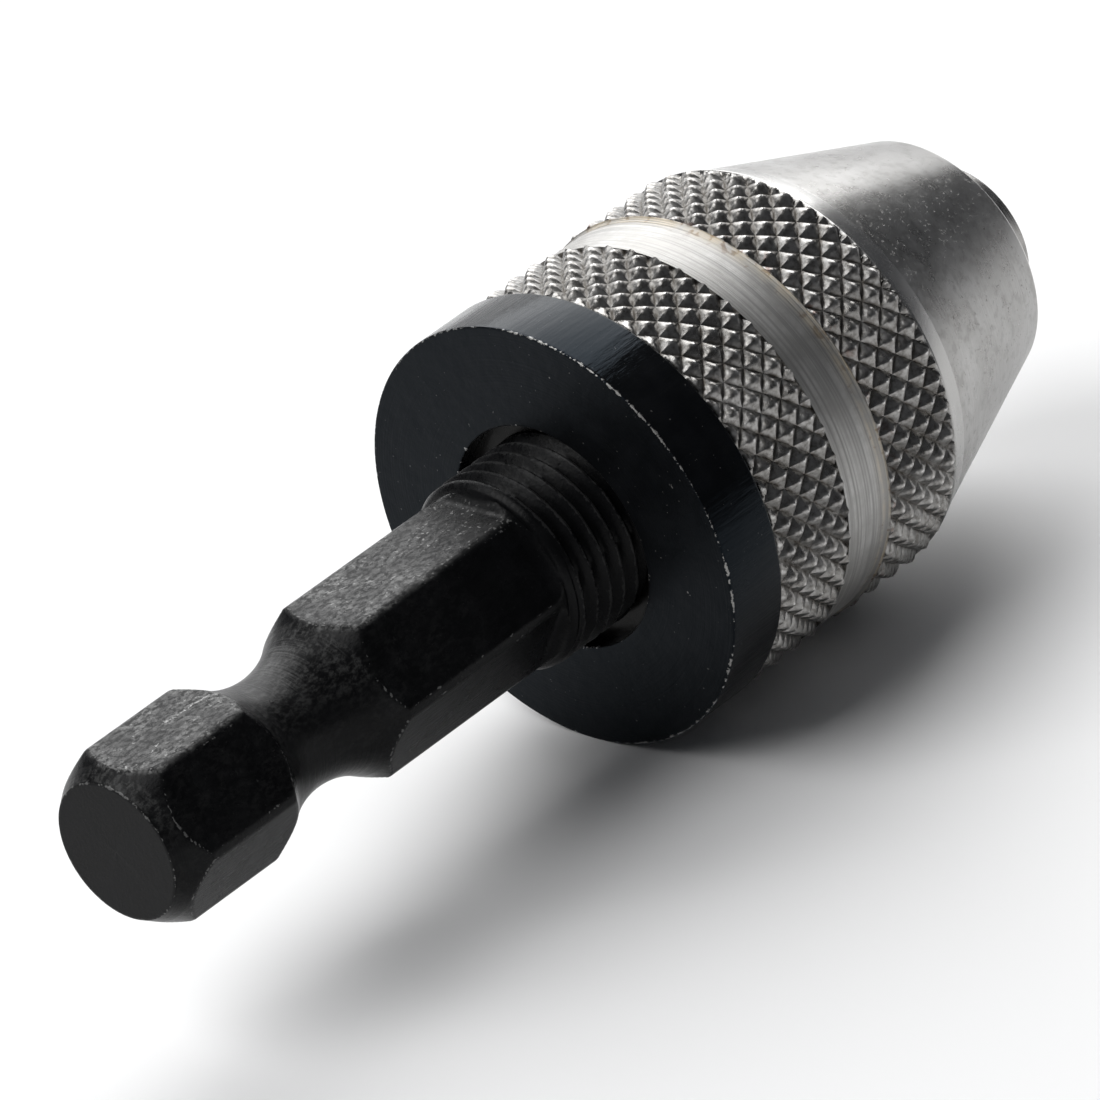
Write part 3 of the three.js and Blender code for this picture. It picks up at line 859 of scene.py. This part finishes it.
def black_oxide():
    """Blackened steel: grainy rubbed flats, dusty turned groove, thin worn edges, a few scratches."""
    f = Finish("black_oxide", metallic=0.0, roughness=0.3)
    f.set(f.shader, "Specular IOR Level", 0.1)
    on_flat = f.step(f.radius, 3.05, 3.2)
    behind = f.step(f.x, HEX_LENGTH, HEX_LENGTH - 0.3)
    hexed = f.math("MULTIPLY", behind, f.step(f.x, 0.02, 0.08))
    worn_flat = f.step(f.z, 3.0, 3.14)
    groove = f.math("SUBTRACT", hexed, f.math("MULTIPLY", on_flat, hexed))
    blotch = f.noise(0.7, 6.0)
    grain = f.noise(5.0, 6.0, f.stretched((0, 0, 0), (0.6, 1, 1)), 0.75)
    cloud = f.noise(1.3, 5.0, f.shifted(3), 0.6)
    base = f.mix(f.step(blotch, 0.35, 0.7), (0.0035, 0.0036, 0.004), (0.006, 0.0062, 0.0068))
    edge = f.math("MULTIPLY", f.wear(0.55), f.math("ADD", f.math("MULTIPLY", behind, 0.17), 0.03))
    top = HEX_FLATS / 2
    marks = f.largest([
        f.scratch((5.9, 0.1, top), (3.6, 0.3, top), 0.07),
        f.scratch((2.9, 0.5, top), (2.2, 0.35, top), 0.05),
        f.scratch((2.6, -0.5, top), (1.9, -0.75, top), 0.035),
        f.scratch((14.2, 0.4, top), (13.2, 0.9, top), 0.03),
        f.scratch((1.0, -0.3, top), (0.6, -0.9, top), 0.04),
    ])
    marks = f.math("MULTIPLY", f.math("MULTIPLY", marks, f.step(grain, 0.4, 0.55)), 0.4)
    points = f.math("MULTIPLY", f.specks(6.0, 0.63, 4), f.step(cloud, 0.4, 0.6))
    marks = f.math("MAXIMUM", marks, f.math("MULTIPLY", f.math("MULTIPLY", points, worn_flat), 0.3))
    bare = f.math("MAXIMUM", edge, f.math("MULTIPLY", marks, hexed))
    far = f.step(f.x, HEX_LENGTH - 1, HEX_LENGTH - 7)
    rub = f.math("MULTIPLY", f.step(grain, 0.42, 0.6), f.math("ADD", f.step(cloud, 0.35, 0.65), 0.25))
    rub = f.math("MULTIPLY", rub, f.math("ADD", f.math("MULTIPLY", worn_flat, 0.93), 0.07))
    rub = f.math("MULTIPLY", rub, f.math("ADD", f.math("MULTIPLY", far, 0.14), 0.02))
    raised = f.math("MULTIPLY", groove, f.step(f.z, 0.8, 2.4))
    dust = f.math("MULTIPLY", f.math("MULTIPLY", f.step(grain, 0.44, 0.64), raised), 0.06)
    bare = f.math("MAXIMUM", bare, f.math("MULTIPLY", f.math("ADD", rub, dust), hexed))
    base = f.mix(bare, base, (0.56, 0.56, 0.55))
    pits = f.step(f.noise(6.0, 4.0, None, 0.7), 0.34, 0.3)
    rough = f.math("ADD", f.math("MULTIPLY", blotch, 0.3), 0.1)
    rough = f.math("ADD", rough, f.math("MULTIPLY", pits, 0.3))
    rough = f.math("ADD", rough, f.math("MULTIPLY", groove, 0.08))
    coarse = f.math("MULTIPLY", worn_flat, f.step(grain, 0.56, 0.42))
    rough = f.math("ADD", rough, f.math("MULTIPLY", coarse, 0.2))
    rough = f.math("ADD", rough, f.math("MULTIPLY", f.step(f.x, 0.06, 0.02), 0.1))
    turning = f.noise(1.0, 2.0, f.around(11, 0.6))
    milled = f.noise(1.0, 4.0, f.stretched((0, 0, 0), (0.4, 9, 9)))
    normal = f.bump(f.math("MULTIPLY", turning, f.math("SUBTRACT", 1.0, on_flat)), 0.03, 0.5)
    normal = f.bump(f.math("MULTIPLY", milled, on_flat), 0.02, 0.4, normal)
    normal = f.bump(f.math("SUBTRACT", grain, pits), 0.018, 0.6, normal)
    return f.finish(base, rough, normal, bare)


def on_face(radius, degrees):
    """A point on the flange's rear face."""
    angle = math.radians(degrees)
    return flange_rear, radius * math.cos(angle), radius * math.sin(angle)


def gloss_black():
    """Glossy blue-black rim, matt turned rear face, bright nicks on the edge."""
    f = Finish("gloss_black", metallic=0.0, roughness=0.15)
    f.set(f.shader, "Specular IOR Level", 0.1)
    f.set(f.shader, "Specular Tint", (0.45, 0.72, 1.0, 1))
    face = f.step(f.x, flange_rear + 0.05, flange_rear + 0.01)
    rings = f.noise(1.0, 3.0, f.rings(12))
    blotch = f.noise(0.8, 5.0)
    grain = f.noise(12, 3.0)
    base = f.mix(f.step(blotch, 0.35, 0.7), (0.0042, 0.0044, 0.0048), (0.0065, 0.0068, 0.0075))
    curls = f.largest([
        f.scratch(on_face(5.2, 120), on_face(6.2, 133), 0.035, 1.2),
        f.scratch(on_face(6.6, 158), on_face(7.6, 151), 0.035, -1.5),
        f.scratch(on_face(5.4, 176), on_face(6.5, 188), 0.035, 1.0),
        f.scratch(on_face(7.2, 102), on_face(7.9, 109), 0.035, -0.8),
    ])
    marks = f.math("MULTIPLY", f.math("MULTIPLY", curls, face), 0.35)
    marks = f.math("MAXIMUM", marks, f.math("MULTIPLY", f.specks(6.5, 0.735, 8), 0.14))
    bare = f.math("MAXIMUM", f.math("MULTIPLY", f.wear(0.42), 0.6), marks)
    base = f.mix(bare, base, (0.55, 0.54, 0.52))
    rough = f.math("ADD", f.math("MULTIPLY", face, 0.3), f.math("MULTIPLY", blotch, 0.14))
    rough = f.math("ADD", rough, 0.06)
    dents = f.noise(0.8, 4.0, f.stretched((0, 62, 18), (0.5, 2, 2)))
    feather = f.noise(1.0, 4.0, f.stretched((0, 62, 18), (0.6, 8, 8)), 0.6)
    normal = f.bump(f.math("MULTIPLY", rings, face), 0.02, 0.4)
    normal = f.bump(dents, 0.06, 0.4, normal)
    normal = f.bump(f.math("MULTIPLY", feather, f.math("SUBTRACT", 1.0, face)), 0.02, 0.5, normal)
    normal = f.bump(grain, 0.004, 0.4, normal)
    return f.finish(base, rough, normal, bare)


def nickel():
    """Nickel plate: brown dirt in the knurl's valleys, brushed band, stained and pitted cone."""
    f = Finish("nickel_plate", metallic=1.0, roughness=0.2)
    smooth_start = sleeve_rear + REAR_BAND
    smooth_end = smooth_start + SMOOTH_BAND
    land = smooth_end + FRONT_BAND
    band = f.math("MULTIPLY", f.step(f.x, smooth_start, smooth_start + 0.03),
                  f.step(f.x, smooth_end, smooth_end - 0.03))
    ahead = f.step(f.x, land, land + 0.1)
    ring = f.math("MULTIPLY", ahead, f.step(f.x, land + LAND_LENGTH + 0.03, land + LAND_LENGTH - 0.03))
    cone = f.math("SUBTRACT", ahead, ring)
    knurled = f.math("SUBTRACT", 1.0, f.math("MAXIMUM", band, ahead))
    stain = f.noise(0.5, 8.0, None, 0.62)
    cloud = f.noise(2.2, 6.0)
    grime = f.noise(4.5, 4.0, None, 0.65)
    base = f.mix(f.step(stain, 0.35, 0.7), (0.40, 0.392, 0.378), (0.58, 0.575, 0.565))
    front = f.step(f.x, land + LAND_LENGTH + 0.5, sleeve_front - 1.5)
    base = f.mix(f.math("MULTIPLY", cone, f.math("ADD", f.math("MULTIPLY", front, 0.25), 0.35)),
                 base, (0.27, 0.266, 0.26))
    base = f.mix(f.math("MULTIPLY", f.math("MULTIPLY", f.step(cloud, 0.48, 0.66), cone), 0.35),
                 base, (0.19, 0.184, 0.174))
    base = f.mix(f.math("MULTIPLY", ring, 0.7), base, (0.48, 0.475, 0.465))
    base = f.mix(f.math("MULTIPLY", knurled, 0.35), base, (0.16, 0.152, 0.142))
    base = f.mix(f.math("MULTIPLY", knurled, f.step(grime, 0.35, 0.7)), base, (0.17, 0.162, 0.152))
    dirt = f.field("dirt")
    valley = f.math("MULTIPLY", f.step(dirt, 0.72, 1.0), f.step(cloud, 0.35, 0.65))
    base = f.mix(f.math("MULTIPLY", valley, 0.6), base, (0.085, 0.068, 0.05))
    tips = f.math("MULTIPLY", f.math("MULTIPLY", f.step(dirt, 0.2, 0.04), knurled), 0.7)
    base = f.mix(tips, base, (0.76, 0.75, 0.73))
    near_step = f.math("MULTIPLY", f.step(f.x, smooth_end - 0.7, smooth_end - 0.1),
                       f.step(f.x, smooth_end + 0.9, smooth_end + 0.2))
    rust = f.math("MULTIPLY", near_step, f.step(f.noise(2.4, 4.0), 0.54, 0.64))
    base = f.mix(f.math("MULTIPLY", rust, 0.6), base, (0.10, 0.045, 0.03))
    gold = f.math("MULTIPLY", f.math("MULTIPLY", near_step, band), f.step(stain, 0.4, 0.6))
    base = f.mix(f.math("MULTIPLY", gold, 0.4), base, (0.55, 0.42, 0.22))
    pits = f.math("MULTIPLY", f.step(f.noise(5.5, 4.0, None, 0.7), 0.39, 0.33), cone)
    base = f.mix(f.math("MULTIPLY", pits, 0.55), base, (0.13, 0.12, 0.105))
    lip = f.math("MULTIPLY", f.step(f.x, sleeve_front - 0.14, sleeve_front - 0.05),
                 f.step(f.radius, 4.9, 5.0))
    base = f.mix(f.math("MULTIPLY", lip, 0.8), base, (0.85, 0.84, 0.82))
    brushed = f.noise(1.0, 3.0, f.around(9, 0.8))
    fine = f.noise(1.0, 2.0, f.around(26, 3.0))
    base = f.mix(f.math("MULTIPLY", band, f.step(brushed, 0.6, 0.35)), base, (0.35, 0.345, 0.335))
    rough = f.math("ADD", f.math("MULTIPLY", stain, 0.2), 0.09)
    rough = f.math("ADD", rough, f.math("MULTIPLY", cone, 0.1))
    rough = f.math("ADD", rough, f.math("MULTIPLY", band, 0.34))
    rough = f.math("ADD", rough, f.math("MULTIPLY", ring, 0.08))
    rough = f.math("ADD", rough, f.math("MULTIPLY", valley, 0.15))
    rough = f.math("ADD", rough, f.math("MULTIPLY", knurled, 0.1))
    normal = f.bump(f.math("MULTIPLY", brushed, cone), 0.015, 0.4)
    normal = f.bump(f.math("MULTIPLY", brushed, band), 0.05, 0.8, normal)
    normal = f.bump(f.math("MULTIPLY", fine, band), 0.015, 0.8, normal)
    normal = f.bump(f.math("MULTIPLY", grime, knurled), 0.02, 0.6, normal)
    normal = f.bump(cloud, 0.02, 0.25, normal)
    normal = f.bump(f.math("SUBTRACT", 1.0, pits), 0.02, 0.4, normal)
    return f.finish(base, rough, normal)


def turned_steel(name, light, dark, along=14):
    """Bare turned steel with fine tool marks round the axis and faint stains."""
    f = Finish(name, metallic=1.0, roughness=0.28)
    brushed = f.noise(1.0, 3.0, f.around(along, 1.0))
    stain = f.noise(1.1, 6.0)
    base = f.mix(f.step(stain, 0.35, 0.7), dark, light)
    rough = f.math("ADD", f.math("MULTIPLY", stain, 0.2), 0.16)
    return f, base, rough, f.bump(brushed, 0.025, 0.35)


def ground_steel():
    """The nut and the race washer: bright ground steel."""
    f, base, rough, normal = turned_steel("ground_steel", (0.62, 0.62, 0.61), (0.46, 0.46, 0.45))
    return f.finish(base, rough, normal)


def body_steel():
    """The body: bright and stained at the nose, with painted shade: near-black and not metallic in the
    bore and behind the nose.
    """
    f, base, rough, normal = turned_steel("body_steel", (0.40, 0.39, 0.375), (0.24, 0.234, 0.225))
    f.set(f.shader, "Specular IOR Level", 0.1)
    # Painted shade: the drill bore and the body behind the nose, which lie in shade inside the chuck,
    # are painted near-black and made non-metallic.
    dark_share = f.math("MAXIMUM", f.step(f.x, nose_face - 6, nose_face - 16), f.step(f.radius, 1.96, 1.91))
    pits = f.step(f.noise(5.5, 4.0, None, 0.7), 0.37, 0.31)
    base = f.mix(f.math("MULTIPLY", pits, 0.5), base, (0.17, 0.15, 0.13))
    base = f.mix(dark_share, base, (0.006, 0.0055, 0.005))
    return f.finish(base, rough, normal, f.math("SUBTRACT", 1.0, dark_share))


def jaw_steel():
    """The jaws: hardened grey steel ground along the bar, with darker oily patches."""
    f = Finish("jaw_steel", metallic=1.0, roughness=0.3)
    streak = f.noise(1.0, 4.0, f.stretched((0, 0, 0), (0.5, 8, 8)))
    stain = f.noise(1.3, 6.0)
    base = f.mix(f.step(stain, 0.35, 0.7), (0.27, 0.27, 0.28), (0.46, 0.46, 0.46))
    dark_share = f.math("MULTIPLY", f.step(f.noise(2.6, 4.0), 0.5, 0.65), 0.5)
    base = f.mix(dark_share, base, (0.10, 0.09, 0.075))
    rough = f.math("ADD", f.math("MULTIPLY", stain, 0.22), 0.2)
    normal = f.bump(streak, 0.02, 0.4)
    return f.finish(base, rough, f.bump(f.noise(9, 3.0), 0.006, 0.4, normal))


def cage_brass():
    """The ball cage: stamped brass, rubbed bright in places and oiled brown in others."""
    f = Finish("cage_brass", metallic=1.0, roughness=0.3)
    stain = f.noise(1.6, 6.0)
    base = f.mix(f.step(stain, 0.35, 0.68), (0.42, 0.27, 0.10), (0.76, 0.56, 0.26))
    rings = f.noise(1.0, 3.0, f.rings(10))
    rough = f.math("ADD", f.math("MULTIPLY", stain, 0.3), 0.14)
    return f.finish(base, rough, f.bump(rings, 0.015, 0.35))


def ball_steel():
    """The bearing balls: polished chrome steel under a thin uneven film of oil."""
    f = Finish("ball_steel", metallic=1.0, roughness=0.08)
    film = f.noise(3.0, 5.0)
    base = f.mix(f.step(film, 0.5, 0.7), (0.74, 0.74, 0.75), (0.5, 0.47, 0.41))
    rough = f.math("ADD", f.math("MULTIPLY", f.step(film, 0.45, 0.7), 0.2), 0.05)
    return f.finish(base, rough, f.bump(f.noise(6, 3.0), 0.003, 0.3))


# The object -----------------------------------------------------------------------------------

def add(obj, material, body, nodes):
    """Finishes a piece and puts it on its body in place of its CAD nodes."""
    obj.data.materials.clear()
    obj.data.materials.append(material)
    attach(obj, body)
    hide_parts(*nodes)


steel = ground_steel()
add(hex_shank(), black_oxide(), "chuck", ["hex_shank"])
add(rear_flange(), gloss_black(), "chuck", ["rear_flange"])
add(chuck_body(), body_steel(), "chuck", ["chuck_body"])
add(race_washer(), steel, "chuck", ["race_washer"])
add(outer_sleeve(), nickel(), "sleeve", ["outer_sleeve"])
for half in range(2):
    add(nut_half(half), steel, "sleeve", [f"nut_half_{half + 1}"])
for number, jaw_body in enumerate(("jaw_a", "jaw_b", "jaw_c")):
    add(jaw(number), jaw_steel(), jaw_body, [f"jaw_{number + 1}"])
add(ball_cage(), cage_brass(), "cage", ["ball_cage"])
polished = ball_steel()
for number in range(BALL_COUNT):
    add(ball(number), polished, "cage", [f"ball_{number + 1}"])


# Floor, light and camera ----------------------------------------------------------------------

MIDDLE = Vector((24, 0, 0)) * MM
FLOOR_HALF = 2000
FLOOR_OUTSIDE_POOL = (0.45, 0.45, 0.46)

# A painted pool of light: the floor is painted palest within this radius of the object and painted
# darker out to the edge below.
POOL_RADIUS = 55
POOL_EDGE = 2.5 * POOL_RADIUS
SENSOR_WIDTH = 36
WORLD_COLOUR = (0.9, 0.93, 1.0, 1)
WORLD_STRENGTH = 0.08


def towards(azimuth, elevation):
    """A unit vector out from the part, by angles in degrees. Azimuth 0 is on the -Y side."""
    a, e = math.radians(azimuth), math.radians(elevation)
    return Vector((math.sin(a) * math.cos(e), -math.cos(a) * math.cos(e), math.sin(e)))


def floor():
    """A pale floor with a painted pool of light: palest near the object, painted darker far from it.
    """
    depth = cad_bounds[0][2] / MM
    signs = ((-1, -1), (1, -1), (1, 1), (-1, 1))
    corners = [(x * FLOOR_HALF, y * FLOOR_HALF, depth) for x, y in signs]
    obj = mesh_object("floor", corners, [[0, 1, 2, 3]])
    f = Finish("pale_floor", metallic=0.0, roughness=0.6, colour=(0.9, 0.9, 0.9))
    pale = f.mix(f.noise(0.02, 2.0), (0.88, 0.88, 0.88), (0.92, 0.92, 0.92))
    middle = f.vector("SUBTRACT", f.place, (MIDDLE.x / MM, 0, depth))
    # Painted pool of light: the floor colour is painted darker away from the object.
    far = f.step(f.vector("LENGTH", middle, (0, 0, 0)), POOL_RADIUS, POOL_EDGE)
    obj.data.materials.append(f.finish(f.mix(far, pale, FLOOR_OUTSIDE_POOL)))


def softbox(name, azimuth, elevation, distance, size, power):
    """A rectangular white light aimed at the middle of the part."""
    back = towards(azimuth, elevation)
    lamp = bpy.data.lights.new(name, "AREA")
    lamp.shape = "RECTANGLE"
    lamp.size, lamp.size_y = size[0] * MM, size[1] * MM
    lamp.energy = power
    obj = bpy.data.objects.new(name, lamp)
    obj.location = MIDDLE + back * distance * MM
    obj.rotation_mode = "QUATERNION"
    obj.rotation_quaternion = (-back).to_track_quat("-Z", "Y")
    bpy.context.scene.collection.objects.link(obj)


def world():
    """A faint cool fill from all round."""
    scene_world = bpy.data.worlds.new("studio")
    scene_world.use_nodes = True
    background = scene_world.node_tree.nodes["Background"]
    background.inputs["Color"].default_value = WORLD_COLOUR
    background.inputs["Strength"].default_value = WORLD_STRENGTH
    bpy.context.scene.world = scene_world
    bpy.context.scene.view_settings.view_transform = "Standard"


CAMERA_AZIMUTH = -43.55
CAMERA_ELEVATION = 28.53
CAMERA_ROLL = 11.48
CAMERA_DISTANCE = 417.4
CAMERA_LENS = 374.6
AIM = Vector((23.56, 0, -0.42)) * MM


def camera():
    """A long lens, aimed at the part and rolled about its line of sight."""
    back = towards(CAMERA_AZIMUTH, CAMERA_ELEVATION)
    data = bpy.data.cameras.new("camera")
    data.lens = CAMERA_LENS
    data.sensor_width = SENSOR_WIDTH
    data.clip_start, data.clip_end = 0.01, 10
    obj = bpy.data.objects.new("camera", data)
    bpy.context.scene.collection.objects.link(obj)
    obj.location = AIM + back * CAMERA_DISTANCE * MM
    obj.rotation_mode = "QUATERNION"
    roll = Euler((0, 0, -math.radians(CAMERA_ROLL))).to_quaternion()
    obj.rotation_quaternion = (-back).to_track_quat("-Z", "Y") @ roll
    bpy.context.scene.camera = obj


world()
floor()
softbox("back_wall", 136, 39, 620, (640, 580), 4.4)
softbox("back_low", 136, 6, 640, (640, 128), 0.36)
softbox("overhead", -115, 52, 600, (460, 460), 2.6)
camera()
